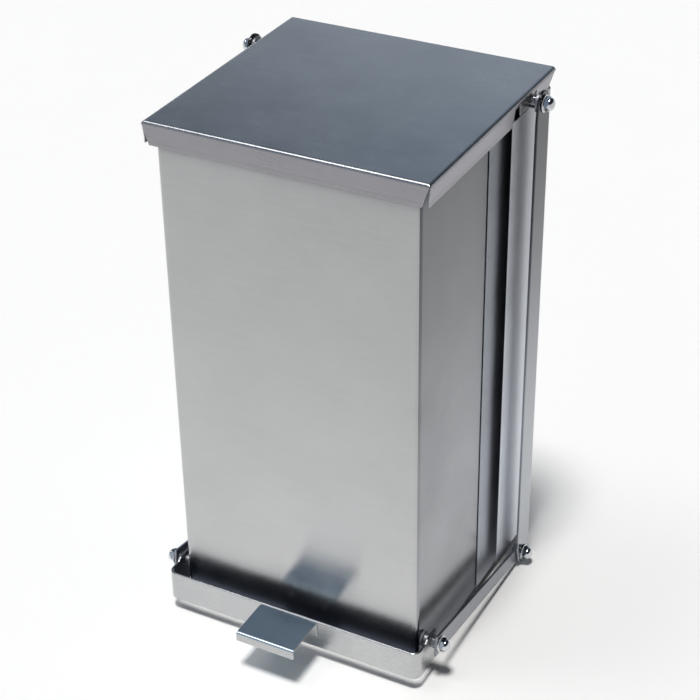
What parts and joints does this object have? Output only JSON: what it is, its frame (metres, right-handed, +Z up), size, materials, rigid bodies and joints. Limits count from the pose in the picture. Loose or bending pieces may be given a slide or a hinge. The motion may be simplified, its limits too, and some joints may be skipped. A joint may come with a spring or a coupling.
{
  "type": "step-on waste receptacle",
  "caption": "Square stainless steel floor bin with a hinged lid that a front pedal lifts through side arms and straps; removable inner pail.",
  "frame": {"origin": "centre of the bounding box at floor level, under the feet", "axes": "+Z up, -Y the pedal's side (front), +X to the right seen from the front"},
  "size_m": [0.38, 0.389, 0.632],
  "materials": {
    "brushed_steel": "fine brushed stainless sheet and flat bar",
    "chrome": "bright plated domed nuts and bolts",
    "dark_zinc": "dull zinc plated steel",
    "galvanised": "galvanised sheet",
    "rubber": "matte black rubber",
    "nylon": "dark nylon bush"
  },
  "bodies": {
    "body": {"base_frame": "dark_zinc", "body_front_shell": "brushed_steel", "body_rear_shell": "brushed_steel", "floor_pan": "brushed_steel", "foot_back_left": "rubber", "foot_back_right": "rubber", "foot_front_left": "rubber", "foot_front_right": "rubber", "hinge_leaf_fixed": "brushed_steel", "hinge_pin": "dark_zinc", "hinge_rivet_1": "dark_zinc", "hinge_rivet_2": "dark_zinc", "hinge_rivet_3": "dark_zinc", "lid_bumper_left": "rubber", "lid_bumper_right": "rubber", "pivot_bushing_left": "nylon", "pivot_bushing_right": "nylon", "rear_channel": "brushed_steel", "spacer_bar_lower": "dark_zinc", "spacer_bar_upper": "dark_zinc"},
    "lid": {"lid": "brushed_steel", "hinge_leaf_lid": "brushed_steel", "lid_pin_bracket_left": "dark_zinc", "lid_pin_bracket_right": "dark_zinc", "lid_pin_cap_nut_left": "chrome", "lid_pin_cap_nut_right": "chrome", "lid_pin_left": "chrome", "lid_pin_nut_left": "chrome", "lid_pin_nut_right": "chrome", "lid_pin_right": "chrome", "lid_pin_spacer_left": "dark_zinc", "lid_pin_spacer_right": "dark_zinc"},
    "lever": {"pedal_plate": "brushed_steel", "pedal_yoke": "brushed_steel", "pivot_shaft": "dark_zinc", "lever_arm_left": "brushed_steel", "lever_arm_right": "brushed_steel", "link_bolt_left": "dark_zinc", "link_bolt_right": "dark_zinc", "link_cap_nut_left": "chrome", "link_cap_nut_right": "chrome", "pedal_rivet_left": "dark_zinc", "pedal_rivet_right": "dark_zinc", "pivot_cap_nut_left": "chrome", "pivot_cap_nut_right": "chrome", "pivot_jam_nut_left": "dark_zinc", "pivot_jam_nut_right": "dark_zinc", "pivot_spacer_left": "dark_zinc", "pivot_spacer_right": "dark_zinc"},
    "strap_left": {"lift_strap_left": "brushed_steel"},
    "strap_right": {"lift_strap_right": "brushed_steel"},
    "pail": {"inner_pail": "galvanised", "pail_ear_left": "dark_zinc", "pail_ear_right": "dark_zinc", "pail_ear_rivet_left": "dark_zinc", "pail_ear_rivet_right": "dark_zinc", "pail_rim_wire": "dark_zinc"},
    "bail": {"pail_bail": "dark_zinc"}
  },
  "joints": [
    {"name": "lid_hinge", "type": "hinge", "parent": "body", "child": "lid", "pos_m": [0, 0.1878, 0.6263], "axis": [-1, 0, 0], "range_deg": [0, 55]},
    {"name": "lever_pivot", "type": "hinge", "parent": "body", "child": "lever", "pos_m": [0, -0.0995, 0.047], "axis": [1, 0, 0], "range_deg": [0, 12.4]},
    {"name": "strap_link_left", "type": "hinge", "parent": "lever", "child": "strap_left", "pos_m": [-0.1765, 0.1315, 0.016], "axis": [-1, 0, 0], "range_deg": [0, 13.9]},
    {"name": "strap_link_right", "type": "hinge", "parent": "lever", "child": "strap_right", "pos_m": [0.1765, 0.1315, 0.016], "axis": [-1, 0, 0], "range_deg": [0, 13.9]},
    {"name": "pail_lift", "type": "slide", "parent": "body", "child": "pail", "axis": [0, 0, 1], "range_m": [0, 0.01]},
    {"name": "bail_swing", "type": "hinge", "parent": "pail", "child": "bail", "pos_m": [0, 0.0305, 0.5875], "axis": [-1, 0, 0], "range_deg": [0, 10]}
  ],
  "couplings": [
    {"joint": "lever_pivot", "follows": "lid_hinge", "ratio": 0.22431},
    {"joint": "strap_link_left", "follows": "lid_hinge", "ratio": 0.25118},
    {"joint": "strap_link_right", "follows": "lid_hinge", "ratio": 0.25118}
  ]
}
